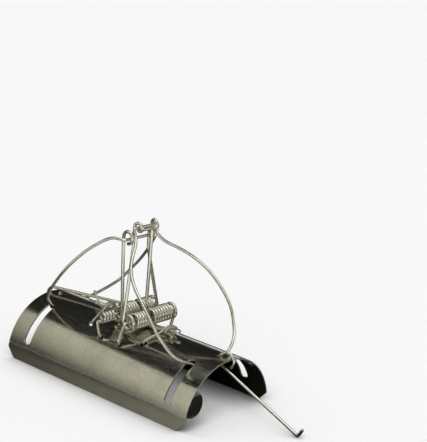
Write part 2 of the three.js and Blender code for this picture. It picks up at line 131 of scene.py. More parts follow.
class WireSizes(bpy.types.PropertyGroup):
    """Diameters of the wires, and how finely they are drawn."""

    spring: metres("Spring wire", "Diameter of the spring wire", 1.98 * MM)
    loop: metres("Loop wire", "Diameter of the loops, pins and axles", 1.8 * MM)
    tie: metres("Tie wire", "Diameter of the soft tie wire", 1.2 * MM)
    coil: metres("Coil radius", "Coil radius, to the wire's middle", 4.2 * MM)
    lift: metres("Coil lift", "Gap between the coils and the crown", 0.3 * MM)
    pitch: metres("Hub pitch", "From a coil's end to an arm's hub", 2.5 * MM)
    step: metres("Step", "Spacing of the rings along a wire", 0.55 * MM)
    rounding: whole("Rounding", "Resolution of a wire's section", 6)


class LoopSizes(bpy.types.PropertyGroup):
    """Places of the bars, loops and pins."""

    left_bar: metres("Left bar", "Left bar along the tunnel", 0.9 * MM)
    left_rise: metres("Left bar rise", "Left bar above the coils' axis", 47.4 * MM)
    left_arm: metres("Left arms", "Left arms' eyes across the tunnel", 9.6 * MM)
    right_bar: metres("Right bar", "Right bar along the tunnel", 5.4 * MM)
    right_rise: metres("Right bar rise", "Right bar above the coils' axis", 54.8 * MM)
    right_arm: metres("Right arms", "Right arms' eyes across the tunnel", 7 * MM)
    wall_inset: metres("Leg inset", "Widest leg place inside the tunnel's side", 3.5 * MM)
    bar_drop: metres("Lower bar drop", "Lower bar under the roof", 3.7 * MM)
    ring: metres("Pin ring", "Radius of a trigger pin's ring", 4.7 * MM)
    ring_drop: metres("Ring drop", "Ring's middle below the crown", 1.5 * MM)
    leg_out: metres("Pin reach", "Pin's foot out from its ring's middle", 47.1 * MM)
    foot_height: metres("Foot height", "Pin's foot corner above the floor", 0.7 * MM)
    foot_tip: metres("Foot tip", "Length of the turned up tip", 5.5 * MM)
    right_turn: turned("Right pin turn", "Right pin out of the middle plane", 11.7)
    left_turn: turned("Left pin turn", "Left pin out of the middle plane", 12)


class FinishColours(bpy.types.PropertyGroup):
    """Colours of the metals and of the studio floor."""

    plate: tint("Tin plate", "Warm grey of the tinned sheet", "#C8C5B8")
    plate_dull: tint("Plate bloom", "Dull patches on the sheet", "#A3A193")
    cut: tint("Cut edge", "Bare steel of the sheared edges", "#D4D2CA")
    spring: tint("Spring wire", "Bright drawn spring wire", "#ECEADC")
    loop: tint("Loop wire", "Zinc plated wire", "#EAE8DA")
    tie: tint("Tie wire", "Soft galvanised wire", "#D2D0C4")
    wire_dull: tint("Wire stain", "Dull patches on the wires", "#A9A796")
    floor: tint("Floor", "Pale studio floor", "#E9E9E9")


class StudioSizes(bpy.types.PropertyGroup):
    """Camera and light of the studio."""

    azimuth: turned("Azimuth", "Camera's turn from the near side", 42.216)
    elevation: turned("Elevation", "Camera's height above the horizon", 15.539)
    roll: turned("Roll", "Camera's turn about its own axis", 3.233)
    distance: metres("Distance", "Camera from its target", 677.424 * MM)
    target_x: metres("Target x", "Camera's target along the tunnel", 94.92 * MM)
    target_y: metres("Target y", "Camera's target across the tunnel", -41.791 * MM)
    target_z: metres("Target z", "Height of the camera's target", 125.448 * MM)
    lens: plain("Lens", "Focal length in millimetres", 110.2)
    key: plain("Key", "Strength of the soft sun", 1.7)
    fill: plain("Fill", "World's strength on dull surfaces", 0.5)


def settings():
    """The scene's property groups for the tunnel, the wires and the loops."""
    scene = bpy.context.scene
    return scene.trap_tunnel, scene.trap_wire, scene.trap_loop


# Selecting and editing


def deselect():
    """Nothing selected, so that an operator acts on the new piece alone."""
    if bpy.context.object and bpy.context.object.mode != "OBJECT":
        bpy.ops.object.mode_set(mode="OBJECT")
    bpy.ops.object.select_all(action="DESELECT")


def select_only(piece):
    """The piece alone selected and active."""
    deselect()
    piece.select_set(True)
    bpy.context.view_layer.objects.active = piece
    return piece


def apply_modifier(piece, kind, **values):
    """Adds one modifier, sets it and applies it."""
    select_only(piece)
    modifier = piece.modifiers.new(kind.title(), kind)
    for key, value in values.items():
        setattr(modifier, key, value)
    bpy.ops.object.modifier_apply(modifier=modifier.name)


def close_up(piece, threshold):
    """Merges doubles and turns every face outwards."""
    select_only(piece)
    bpy.ops.object.mode_set(mode="EDIT")
    bpy.ops.mesh.select_all(action="SELECT")
    bpy.ops.mesh.remove_doubles(threshold=threshold)
    bpy.ops.mesh.normals_make_consistent(inside=False)
    bpy.ops.object.mode_set(mode="OBJECT")


def empty_curve(dimensions):
    """A new curve at the origin, with no splines yet."""
    deselect()
    bpy.ops.curve.primitive_bezier_curve_add(location=(0, 0, 0))
    curve = bpy.context.object.data
    curve.dimensions = dimensions
    curve.splines.clear()
    return curve


def add_points(curve, points):
    """Adds one straight sided spline through the points, and gives it back."""
    spline = curve.splines.new("POLY")
    spline.points.add(len(points) - 1)
    for knot, point in zip(spline.points, points):
        knot.co = (*point, 1)
    return spline


def curve_to_mesh(name, threshold):
    """The active curve as a closed mesh with its name."""
    bpy.ops.object.convert(target="MESH")
    piece = bpy.context.object
    piece.name = name
    close_up(piece, threshold)
    return piece


def hand_over(piece, body, material, node):
    """Rides a finished piece on its body, in place of the plain solid of the same part."""
    piece.data.transform(Matrix.Translation(TUNNEL_MIDDLE))
    piece.data.materials.clear()
    piece.data.materials.append(material)
    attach(piece, body)
    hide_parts(node)


# Paths of bent wire, in metres

# A wire's cut end: how long it is rounded over and how narrow it gets, as shares of its diameter
NIB_LENGTH = 0.35
NIB_WIDTH = 0.55
NIB_ROOM = 0.9
WIRE_MERGE = 1 / 400
WIRE_SMOOTH = math.radians(35)
BEND_STEPS = 8
RELAX_PASSES = 3
FLOW_STEPS = 10


def arc_steps(radius, sweep):
    """Steps that keep the points of an arc about one ring apart."""
    step = bpy.context.scene.trap_wire.step
    return max(3, round(abs(math.radians(sweep)) * radius / step))


def turns(centre, radius, start, sweep, travel):
    """Turns round an axis along Y: start and sweep in degrees, moving along Y as they go."""
    steps = arc_steps(radius, sweep)
    points = []
    for i in range(steps + 1):
        turn = math.radians(start + sweep * i / steps)
        round_it = Vector((math.cos(turn), 0, math.sin(turn))) * radius
        points.append(centre + round_it + Vector((0, travel * i / steps, 0)))
    return points


def bend(corners, radius):
    """A path through corners, each rounded to the bend radius."""
    points = [corners[0]]
    for before, corner, after in zip(corners, corners[1:], corners[2:]):
        back = before - corner
        onward = after - corner
        room = min(back.length, onward.length) / 2
        turn = math.pi - back.angle(onward)
        reach = min(radius * math.tan(turn / 2), room)
        start = corner + back.normalized() * reach
        end = corner + onward.normalized() * reach
        for i in range(BEND_STEPS + 1):
            share = i / BEND_STEPS
            points.append(start.lerp(corner, share).lerp(corner.lerp(end, share), share))
    return [*points, corners[-1]]


def even(points):
    """The same path with points one ring apart at most, and none doubled."""
    step = bpy.context.scene.trap_wire.step
    path = [points[0]]
    for point in points[1:]:
        start = path[-1]
        gap = (point - start).length
        if gap > step / 6:
            parts = math.ceil(gap / step)
            path += [start.lerp(point, i / parts) for i in range(1, parts + 1)]
    return path


def relaxed(points):
    """Takes the hardness out of a path's corners, with both ends kept."""
    for _ in range(RELAX_PASSES):
        inner = [(a + b * 2 + c) / 4 for a, b, c in zip(points, points[1:], points[2:])]
        points = [points[0], *inner, points[-1]]
    return points


def flowing(points):
    """A smooth run through the points: centripetal Catmull-Rom."""
    ends = [points[0] * 2 - points[1], *points, points[-1] * 2 - points[-2]]
    path = []
    for p0, p1, p2, p3 in zip(ends, ends[1:], ends[2:], ends[3:]):
        t1 = math.sqrt((p1 - p0).length)
        t2 = t1 + math.sqrt((p2 - p1).length)
        t3 = t2 + math.sqrt((p3 - p2).length)
        for i in range(FLOW_STEPS):
            t = t1 + (t2 - t1) * i / FLOW_STEPS
            a1 = p0.lerp(p1, t / t1)
            a2 = p1.lerp(p2, (t - t1) / (t2 - t1))
            a3 = p2.lerp(p3, (t - t2) / (t3 - t2))
            b1 = a1.lerp(a2, t / t2)
            b2 = a2.lerp(a3, (t - t1) / (t3 - t1))
            path.append(b1.lerp(b2, (t - t1) / (t2 - t1)))
    return [*path, points[-1]]


def nib(end, inner, length):
    """The two points of a path's cut end: the end itself, and where its rounding starts."""
    return [end, end.lerp(inner, min(NIB_ROOM, length / (inner - end).length))]


def wire_piece(name, points, diameter):
    """Round wire along the points, with both cut ends a little rounded over."""
    path = relaxed(even(points))
    start = nib(path[0], path[1], diameter * NIB_LENGTH)
    stop = nib(path[-1], path[-2], diameter * NIB_LENGTH)
    path = [*start, *path[1:-1], *reversed(stop)]
    curve = empty_curve("3D")
    spline = add_points(curve, path)
    spline.points[0].radius = NIB_WIDTH
    spline.points[-1].radius = NIB_WIDTH
    curve.bevel_depth = diameter / 2
    curve.bevel_resolution = bpy.context.scene.trap_wire.rounding
    curve.use_fill_caps = True
    piece = curve_to_mesh(name, diameter * WIRE_MERGE)
    bpy.ops.object.shade_smooth_by_angle(angle=WIRE_SMOOTH)
    return piece


# Springs, arms and axles


class Spring:
    """One spring's measures in metres: its side along the tunnel, coils and hairpin."""

    def __init__(self, end, inner, near, far, near_turns, far_turns, tip, shift):
        self.end = end
        self.inner = inner * MM
        self.near = near * MM
        self.far = far * MM
        self.near_turns = near_turns
        self.far_turns = far_turns
        self.bend = 15 * MM
        self.tip = tip * MM
        self.shift = shift * MM
        self.rise = 3.5 * MM


LEFT_SPRING = Spring(
    end=-1, inner=6, near=11.25, far=10, near_turns=5.5, far_turns=5, tip=34, shift=-7
)
RIGHT_SPRING = Spring(
    end=1, inner=0.4, near=11.25, far=15.625, near_turns=5.5, far_turns=7.25, tip=32, shift=1
)

# Half the solids' wire, which the drawn wire is a hair thinner than
HALF_WIRE = 1 * MM

# A left arm's eye: its radius, and its middle's height above the bar
NEAR_EYE = (3.6 * MM, 1.1 * MM)
FAR_EYE = (2.6 * MM, 0.3 * MM)
EYE_SWEEP = 280
HUB_SWEEP = 295
STEM_STRAIGHT = 7 * MM
STEM_BEND = 3 * MM
AXLE_BEND = 3.5 * MM
INSIDE_REACH = 4 * MM
HOLE_STAND_OFF = 2.6 * MM

# The right arms: their eyes, the crossbar between these, and the far arm's jog past its coil
RIGHT_EYE = 2.5 * MM
RIGHT_EYE_TURNS = 0.75
RIGHT_EYE_OUT = 0.2 * MM
RIGHT_EYE_PLAY = 0.3 * MM
CROSSBAR_BACK = 1.2 * MM
JOG_IN = 6.5 * MM
JOG_LOW = 3.4 * MM
JOG_HIGH = 9 * MM
JOG_BEND = 2 * MM

# The axles' ends across the tunnel, and the left one's small open coil
NEAR_AXLE_END = -16.4 * MM
FAR_AXLE_END = 25.4 * MM
CURL_TURNS = 4
CURL_RADIUS = 2.5 * MM
CURL_START = -10.8 * MM
CURL_GAP = 0.5 * MM


def coil_height():
    """Height of the coils' axis, a little clear of the crown."""
    tunnel, wire, _ = settings()
    return tunnel.radius + wire.coil + HALF_WIRE + wire.lift


def hairpin_corners(spring):
    """The reaction hairpin: out from between the coils, and back one pitch further."""
    tunnel, wire, _ = settings()
    bottom = coil_height() - wire.coil
    high = tunnel.radius + spring.rise
    near = spring.inner
    far = spring.inner + wire.pitch
    hole = spring.end * tunnel.spring_hole
    tip = spring.end * spring.tip
    nose = spring.end * (spring.tip + wire.pitch / 2)
    return [
        Vector((hole, near, bottom)),
        Vector((spring.end * spring.bend, near, bottom)),
        Vector((tip, near + spring.shift, high)),
        Vector((nose, near + spring.shift + wire.pitch / 2, high)),
        Vector((tip, far + spring.shift, high)),
        Vector((spring.end * spring.bend, far, bottom)),
        Vector((hole, far, bottom)),
    ]


def coil_path(spring):
    """Both close wound coils of a spring and the hairpin between them, one wire."""
    tunnel, wire, _ = settings()
    x = spring.end * tunnel.spring_hole
    far_inner = spring.inner + wire.pitch
    near_centre = Vector((x, spring.inner - spring.near, coil_height()))
    far_centre = Vector((x, far_inner, coil_height()))
    near_sweep = spring.end * spring.near_turns * 360
    far_sweep = -spring.end * spring.far_turns * 360
    near = turns(near_centre, wire.coil, -90 - near_sweep, near_sweep, spring.near)
    far = turns(far_centre, wire.coil, -90, far_sweep, spring.far)
    hairpin = bend(hairpin_corners(spring), wire.pitch / 2)
    return [*near, *hairpin[1:-1], *far]


def hub(y, end, leaving):
    """An arm's last turn round the axle, ending where its stem leaves upwards."""
    tunnel, wire, _ = settings()
    centre = Vector((end * tunnel.spring_hole, y, coil_height()))
    way = 1 if leaving == 0 else -1
    return turns(centre, wire.coil, leaving - way * HUB_SWEEP, way * HUB_SWEEP, 0)


def stem_to(eye, radius, y):
    """The end of a stem, straight in the plane of its eye."""
    x = eye.x - radius
    return [Vector((x, y, eye.z - radius - STEM_STRAIGHT)), Vector((x, y, eye.z))]


def left_arm_path(side):
    """One left arm: hub, slanting stem, and an open eye round the left bar."""
    _, wire, loops = settings()
    spring = LEFT_SPRING
    near_hub = spring.inner - spring.near - wire.pitch
    far_hub = spring.inner + spring.far + 2 * wire.pitch
    radius, play = NEAR_EYE if side < 0 else FAR_EYE
    y = side * loops.left_arm
    eye = Vector((loops.left_bar, y, coil_height() + loops.left_rise + play))
    ring = hub(near_hub if side < 0 else far_hub, -1, 0)
    stem = bend([ring[-1], *stem_to(eye, radius, y)], STEM_BEND)
    return [*ring, *stem[1:-1], *turns(eye, radius, 180, -EYE_SWEEP, 0)]


def right_arm_path():
    """Both right arms, their eyes and the crossbar between them, one wire."""
    tunnel, wire, loops = settings()
    spring = RIGHT_SPRING
    drift = RIGHT_EYE_TURNS * wire.pitch
    eye_height = coil_height() + loops.right_rise + RIGHT_EYE_PLAY
    eye = Vector((loops.right_bar + RIGHT_EYE_OUT, 0, eye_height))

    def eye_at(side):
        place = eye + Vector((0, side * loops.right_arm, 0))
        return turns(place, RIGHT_EYE, 180, -RIGHT_EYE_TURNS * 360, -side * drift)

    inner = loops.right_arm - drift
    foot = eye.z - RIGHT_EYE
    crossbar = bend(
        [
            Vector((eye.x, -inner, foot)),
            Vector((eye.x - CROSSBAR_BACK, -inner, foot)),
            Vector((eye.x - CROSSBAR_BACK, inner, foot)),
            Vector((eye.x, inner, foot)),
        ],
        CROSSBAR_BACK,
    )
    near_ring = hub(spring.inner - spring.near - wire.pitch, 1, 180)
    near_stem = bend([near_ring[-1], *stem_to(eye, RIGHT_EYE, -loops.right_arm)], STEM_BEND)
    far_y = spring.inner + spring.far + 2 * wire.pitch
    centre = Vector((tunnel.spring_hole, far_y, coil_height()))
    far_ring = turns(centre, wire.coil, -90 + HUB_SWEEP, -HUB_SWEEP, 0)
    jog = tunnel.spring_hole - JOG_IN
    far_stem = bend(
        [
            far_ring[-1],
            Vector((jog, far_y, far_ring[-1].z)),
            Vector((jog, loops.right_arm, coil_height() - JOG_LOW)),
            Vector((jog, loops.right_arm, coil_height() + JOG_HIGH)),
            *stem_to(eye, RIGHT_EYE, loops.right_arm),
        ],
        JOG_BEND,
    )
    return [
        *near_ring,
        *near_stem[1:-1],
        *eye_at(-1),
        *crossbar[1:-1],
        *reversed(eye_at(1)),
        *reversed(far_stem[1:-1]),
        *reversed(far_ring),
    ]


def at_hole(place, angle, end, side, outside):
    """A point on the line through a hole in the sheet, a distance outside it."""
    tunnel, _, _ = settings()
    out = tunnel.radius + outside
    return Vector((end * place, side * out * math.cos(angle), out * math.sin(angle)))


def axle_path(end, near_end):
    """An axle: through the coils, bent down at both ends into the spring holes."""
    tunnel, _, _ = settings()
    hole = (tunnel.spring_hole, tunnel.spring_angle, end, 1)
    far = [
        Vector((end * tunnel.spring_hole, FAR_AXLE_END, coil_height())),
        at_hole(*hole, HOLE_STAND_OFF),
        at_hole(*hole, -INSIDE_REACH),
    ]
    return [*near_end, *bend([near_end[-1], *far], AXLE_BEND)[1:]]


def left_axle_near_end():
    """The left axle's near end, curled into a small open coil before it goes down."""
    tunnel, wire, _ = settings()
    pitch = wire.loop + CURL_GAP
    travel = CURL_TURNS * pitch
    x = -tunnel.spring_hole
    start = Vector((x, CURL_START - travel, coil_height()))
    curl = turns(start, CURL_RADIUS, -90, CURL_TURNS * 360, travel)
    hole = (tunnel.spring_hole, tunnel.spring_angle, -1, -1)
    down = bend(
        [
            at_hole(*hole, -INSIDE_REACH),
            at_hole(*hole, HOLE_STAND_OFF),
            curl[0] + Vector((-CURL_RADIUS, -pitch / 2, 0)),
            curl[0],
        ],
        AXLE_BEND,
    )
    return [*down[:-1], *curl, Vector((x, CURL_START + pitch, coil_height()))]


def right_axle_near_end():
    """The right axle's near end, bent straight down into its spring hole."""
    tunnel, _, _ = settings()
    hole = (tunnel.spring_hole, tunnel.spring_angle, 1, -1)
    return bend(
        [
            at_hole(*hole, -INSIDE_REACH),
            at_hole(*hole, HOLE_STAND_OFF),
            Vector((tunnel.spring_hole, NEAR_AXLE_END, coil_height())),
            Vector((tunnel.spring_hole, 0, coil_height())),
        ],
        AXLE_BEND,
    )


# Strike loops, trigger pins and tie wires

# The legs' places, as shares of a loop's length, of its half width and of its bow
LENGTH_SHARES = (
    0.05, 0.11, 0.18, 0.24, 0.31, 0.4, 0.5, 0.6, 0.67, 0.74, 0.81, 0.88, 0.93, 0.965, 1,
)
LOWER_BAR_SHARE = 0.2
LOWER_BAR_MIDDLE = 0.3 * MM
LEG_ROOT = 2.2 * MM
ROOT_RUN = 1.6 * MM

# A trigger pin's ring and the bend at its foot
RING_SWEEP = 300
FOOT_BEND = 1.6 * MM

# A tie wire: out of its hole, and twice round the hairpin
TIE_INSIDE = 3 * MM
TIE_OUTSIDE = 1.4 * MM
TIE_BEND = 2 * MM
KNOT_OUT = 26.5 * MM
KNOT_TURNS = 2
KNOT_STEPS = 48
KNOT_HALF_LENGTH = 1.7 * MM
KNOT_HALF_WIDTH = 4.4 * MM
KNOT_HALF_HEIGHT = 2 * MM

# A tie wire's free tail: out along the tunnel, across it, and above the crown; then its hook
LEFT_TAIL = (37 * MM, -3 * MM, 10.5 * MM)
RIGHT_TAIL = (34 * MM, -6 * MM, 1.6 * MM)
HOOK_BACK = 2.2 * MM
HOOK_DOWN = 1.1 * MM
HOOK_BEND = 0.73 * MM


class Legs:
    """One loop's legs: bar past the slots and bow in mm, then shares of width and of bow."""

    def __init__(self, past, bow, wide_shares, near_shares, far_shares):
        self.past = past * MM
        self.bow = bow * MM
        self.wide_shares = wide_shares
        self.near_shares = near_shares
        self.far_shares = far_shares


LEFT_LEGS = Legs(
    1.7,
    7,
    (0.49, 0.58, 0.67, 0.76, 0.83, 0.9, 0.95, 0.97, 0.97, 0.93, 0.8, 0.64, 0.53, 0.46, 0.38),
    (0.66, 0.9, 0.98, 0.98, 0.92, 0.81, 0.62, 0.4, 0.21, 0.06, 0, 0.02, 0.01, -0.05, 0),
    (0, 0.03, 0.05, 0.08, 0.1, 0.08, 0.05, 0.03, -0.02, -0.1, -0.17, -0.18, -0.14, -0.08, 0),
)
RIGHT_LEGS = Legs(
    1.5,
    5.4,
    (0.32, 0.41, 0.58, 0.72, 0.84, 0.93, 0.97, 0.98, 0.975, 0.96, 0.91, 0.83, 0.71, 0.57, 0.38),
    (-0.2, -0.27, -0.35, -0.33, -0.19, 0.05, 0.28, 0.37, 0.36, 0.31, 0.23, 0.08, 0.01, 0.03, 0),
    (-0.75, -0.85, -0.58, -0.37, -0.15, 0.15, 0.42, 0.58, 0.6, 0.45, 0.25, 0.08, 0.01, 0.04, 0),
)


def loop_path(bar_x, bar_rise, arm_out, end, legs):
    """A strike loop: its upper bar, two bowed legs, and the lower bar under the roof."""
    tunnel, _, loops = settings()
    reach = tunnel.length / 2 - tunnel.slot_end + legs.past
    half_width = tunnel.radius - loops.wall_inset
    root = arm_out + LEG_ROOT
    top = Vector((bar_x, 0, coil_height() + bar_rise))
    foot = Vector((end * reach, 0, tunnel.radius - tunnel.sheet - loops.bar_drop))
    along = foot - top
    outward = Vector((-along.z * end, 0, along.x * end)).normalized() * legs.bow

    def place(length_share, y, bow_share=0):
        return top + along * length_share + outward * bow_share + Vector((0, y, 0))

    def leg(side, bow_shares):
        shares = zip(LENGTH_SHARES, legs.wide_shares, bow_shares)
        return [
            place(0, side * (root - ROOT_RUN)),
            place(0, side * root),
            *(place(down, side * wide * half_width, bow) for down, wide, bow in shares),
            place(1, side * LOWER_BAR_SHARE * half_width),
            place(1, side * LOWER_BAR_MIDDLE),
        ]

    return flowing([*reversed(leg(-1, legs.near_shares)), *leg(1, legs.far_shares)])


def pin_path():
    """A trigger pin about its ring's middle: ring, straight leg and turned up foot."""
    tunnel, _, loops = settings()
    corner = Vector((loops.leg_out, 0, loops.foot_height + loops.ring_drop - tunnel.radius))
    turn = math.atan2(corner.z, corner.x) - math.acos(loops.ring / corner.length)
    ring = turns(Vector(), loops.ring, math.degrees(turn) - RING_SWEEP, RING_SWEEP, 0)
    way = (corner - ring[-1]).normalized()
    tip = corner + Vector((-way.z, 0, way.x)) * loops.foot_tip
    return [*ring, *bend([ring[-1], corner, tip], FOOT_BEND)[1:]]


def ring_from_hole():
    """How far a pin's ring has its middle from the hole that it hangs in."""
    tunnel, _, loops = settings()
    return math.sqrt(loops.ring**2 - (loops.ring_drop - tunnel.sheet / 2) ** 2)


def folded_over():
    """How far the left pin is folded up and over, until its foot stands on the crown."""
    tunnel, wire, loops = settings()
    ring_height = tunnel.radius - loops.ring_drop
    drop = ring_height - loops.foot_height
    reach = math.hypot(loops.leg_out, drop)
    across = (reach - ring_from_hole()) * math.sin(loops.left_turn) - wire.loop / 2
    corner = math.sqrt(tunnel.radius**2 - across**2) + wire.lift + loops.foot_tip
    return math.pi - math.asin((corner - ring_height) / reach) + math.asin(drop / reach)


def hung(end, heading, fold):
    """The matrix that hangs a pin in an end's crown hole, its leg heading out from there."""
    tunnel, _, loops = settings()
    hole = Vector((end * (tunnel.length / 2 - tunnel.hinge_end), 0, 0))
    middle = hole + Vector((0, 0, tunnel.radius - loops.ring_drop))
    middle += Vector((math.cos(heading), math.sin(heading), 0)) * ring_from_hole()
    turn = Matrix.Rotation(heading, 4, "Z") @ Matrix.Rotation(-fold, 4, "Y")
    return Matrix.Translation(middle) @ turn


def tie_path(spring, tail_out, tail_across, tail_rise):
    """A tie wire: up from its hole, twice round the hairpin, and a free hooked tail."""
    tunnel, wire, _ = settings()
    share = (KNOT_OUT - spring.bend) / (spring.tip - spring.bend)
    bottom = coil_height() - wire.coil
    middle_y = spring.inner + wire.pitch / 2 + share * spring.shift
    middle_z = bottom + share * (tunnel.radius + spring.rise - bottom)
    knot = []
    for i in range(KNOT_STEPS + 1):
        turn = KNOT_TURNS * math.tau * i / KNOT_STEPS
        out = KNOT_OUT + (2 * i / KNOT_STEPS - 1) * KNOT_HALF_LENGTH
        y = middle_y - KNOT_HALF_WIDTH * math.cos(turn)
        z = middle_z + KNOT_HALF_HEIGHT * math.sin(turn)
        knot.append(Vector((spring.end * out, y, z)))
    hole = (tunnel.tie_hole, tunnel.tie_angle, spring.end, -1)
    start = [at_hole(*hole, -TIE_INSIDE), at_hole(*hole, TIE_OUTSIDE), knot[0]]
    tip_y = middle_y + tail_across
    tip = Vector((spring.end * tail_out, tip_y, tunnel.radius + tail_rise))
    hook = tip + Vector((-spring.end * HOOK_BACK, 0, -HOOK_DOWN))
    tail = bend([knot[-1], tip, hook], HOOK_BEND)
    return [*bend(start, TIE_BEND)[:-1], *knot, *tail[1:]]


# The rolled sheet

SHEET_MERGE = 0.01 * MM
EDGE_ANGLE = math.radians(50)
SHEET_SMOOTH = math.radians(14)
HOLE_STEPS = 40
SLOT_END_STEPS = 16
EAR_STEPS = 96
# A face of the sheet's broad sides: how squarely it looks in or out, and how large an ear's is
BROAD_FACING = 0.7
EAR_FACING = 0.9
EAR_FACE_AREA = (1 * MM) ** 2


def plate_piece(name, outlines, sheet, edge):
    """A flat plate cut to its outlines, the first round it and the others holes in it."""
    curve = empty_curve("2D")
    curve.fill_mode = "BOTH"
    for outline in outlines:
        spline = add_points(curve, [(x, y, 0) for x, y in outline])
        spline.use_cyclic_u = True
    piece = curve_to_mesh(name, SHEET_MERGE)
    apply_modifier(piece, "SOLIDIFY", thickness=sheet, offset=-1)
    bevel = {"width": edge, "segments": 3, "limit_method": "ANGLE"}
    apply_modifier(piece, "BEVEL", angle_limit=EDGE_ANGLE, **bevel)
    return piece


def round_outline(x, y, radius):
    """A circle's points on the blank."""
    turn = [math.tau * i / HOLE_STEPS for i in range(HOLE_STEPS)]
    return [(x + radius * math.cos(t), y + radius * math.sin(t)) for t in turn]


def slot_outline(x, low, high, width):
    """A slot with round ends on the blank, from low to high across it."""
    radius = width / 2
    ends = [(high - radius, 0), (low + radius, math.pi)]
    points = []
    for middle, start in ends:
        for i in range(SLOT_END_STEPS + 1):
            turn = start + math.pi * i / SLOT_END_STEPS
            points.append((x + radius * math.cos(turn), middle + radius * math.sin(turn)))
    return points


def blank_outlines(sizes):
    """Outline of the flat blank, its slots and its holes: x along, y the way round."""
    half = sizes.length / 2
    wide = math.pi * sizes.radius
    cut = sizes.corner
    rise = sizes.radius * math.asin(cut / sizes.radius)
    corners = [(half, rise), (half, wide - rise), (half - cut, wide), (cut - half, wide)]
    outline = [*corners, (-half, wide - rise), (-half, rise), (cut - half, 0), (half - cut, 0)]
    outlines = [outline]
    for end in (-1, 1):
        hinge = end * (half - sizes.hinge_end)
        outlines.append(round_outline(hinge, wide / 2, sizes.hinge_hole / 2))
        slot_x = end * (half - sizes.slot_end)
        low = sizes.radius * sizes.slot_low
        high = sizes.radius * sizes.slot_high
        for start, stop in ((low, high), (wide - high, wide - low)):
            outlines.append(slot_outline(slot_x, start, stop, sizes.slot_width))
        holes = (
            (sizes.spring_hole, sizes.spring_angle),
            (sizes.tie_hole, sizes.tie_angle),
        )
        for place, angle in holes:
            for turn in (angle, math.pi - angle):
                middle = sizes.radius * turn
                outlines.append(round_outline(end * place, middle, sizes.hole / 2))
    return outlines


def roll_up(piece, sizes):
    """Cuts a blank into narrow strips and rolls it to the half round."""
    select_only(piece)
    bpy.ops.object.mode_set(mode="EDIT")
    strips = round(math.pi / sizes.strip)
    for i in range(1, strips):
        bpy.ops.mesh.select_all(action="SELECT")
        place = (0, math.pi * sizes.radius * i / strips, 0)
        bpy.ops.mesh.bisect(plane_co=place, plane_no=(0, 1, 0))
    bpy.ops.object.mode_set(mode="OBJECT")
    for vertex in piece.data.vertices:
        x, y, z = vertex.co
        turn = y / sizes.radius
        out = sizes.radius + z
        vertex.co = (x, -out * math.cos(turn), out * math.sin(turn))


def ear_outline(sizes):
    """The ear's flat outline in the end plane: a disc cut off by the middle of the sheet."""
    limit = sizes.radius - sizes.sheet / 2
    out = sizes.radius - sizes.sheet - sizes.ear_inset
    middle = Vector((-out * math.cos(sizes.ear_angle), out * math.sin(sizes.ear_angle)))
    points = []
    for i in range(EAR_STEPS):
        turn = math.tau * i / EAR_STEPS
        point = middle + Vector((math.cos(turn), math.sin(turn))) * sizes.ear_radius
        if point.length > limit:
            point = point.normalized() * limit
        points.append(tuple(point))
    return points


def ear_piece(sizes, half_turned):
    """A rounded ear that stands in one end of the tunnel."""
    piece = plate_piece("ear", [ear_outline(sizes)], sizes.sheet, sizes.edge)
    stand = Matrix(((0, 0, 1, sizes.length / 2), (1, 0, 0, 0), (0, 1, 0, 0), (0, 0, 0, 1)))
    if half_turned:
        stand = Matrix.Rotation(math.pi, 4, "Z") @ stand
    piece.data.transform(stand)
    return piece


# Finishes

MIX_FACTOR, MIX_A, MIX_B, MIX_OUT = 0, 6, 7, 2


def add_node(material, kind, inputs, **values):
    """Adds one node with its settings, and sets or links its inputs."""
    tree = material.node_tree
    node = tree.nodes.new(kind)
    for key, value in values.items():
        setattr(node, key, value)
    for socket, value in inputs.items():
        if isinstance(value, bpy.types.NodeSocket):
            tree.links.new(value, node.inputs[socket])
        else:
            node.inputs[socket].default_value = value
    return node


def per(size):
    """The texture scale that gives a pattern of a real size in metres."""
    return 1 / size


def metal(name, bright, dull, patch, grain, depth, smooth, rough, streak, stained=0.55):
    """A plated metal: dull patches, a fine grain in colour and gloss, and drawn streaks."""
    material = bpy.data.materials.new(name)
    material.use_nodes = True
    shader = material.node_tree.nodes["Principled BSDF"]
    shader.inputs["Metallic"].default_value = 1
    place = add_node(material, "ShaderNodeTexCoord", {}).outputs["Object"]
    noise = "ShaderNodeTexNoise"
    clouds = {"Vector": place, "Scale": per(patch), "Detail": 5, "Roughness": 0.6}
    cloud = add_node(material, noise, clouds).outputs[0]
    grains = {"Vector": place, "Scale": per(grain), "Detail": 4, "Roughness": 0.65}
    fine = add_node(material, noise, grains).outputs[0]
    drawn = add_node(material, "ShaderNodeMapping", {"Vector": place, "Scale": streak})
    lines = {"Vector": drawn.outputs[0], "Scale": 1, "Detail": 3}
    line = add_node(material, noise, lines).outputs[0]
    shade = {"Value": cloud, "From Min": 0.42, "From Max": 0.72, "To Max": stained}
    patches = add_node(material, "ShaderNodeMapRange", shade).outputs[0]
    speck = {"Value": fine, "From Min": 0.45, "From Max": 0.8, "To Max": 0.5}
    specks = add_node(material, "ShaderNodeMapRange", speck).outputs[0]
    factor = add_node(material, "ShaderNodeMath", {0: patches, 1: specks}, operation="MAXIMUM")
    blend = {MIX_FACTOR: factor.outputs[0], MIX_A: bright, MIX_B: dull}
    colour = add_node(material, "ShaderNodeMix", blend, data_type="RGBA").outputs[MIX_OUT]
    worn = add_node(material, "ShaderNodeMath", {0: fine, 1: line}, operation="ADD").outputs[0]
    gloss = {"Value": worn, "From Min": 0.7, "From Max": 1.35, "To Min": smooth, "To Max": rough}
    roughness = add_node(material, "ShaderNodeMapRange", gloss).outputs[0]
    relief = {"Height": worn, "Distance": depth, "Strength": 1}
    bump = add_node(material, "ShaderNodeBump", relief).outputs[0]
    links = material.node_tree.links
    links.new(colour, shader.inputs["Base Color"])
    links.new(roughness, shader.inputs["Roughness"])
    links.new(bump, shader.inputs["Normal"])
    return material


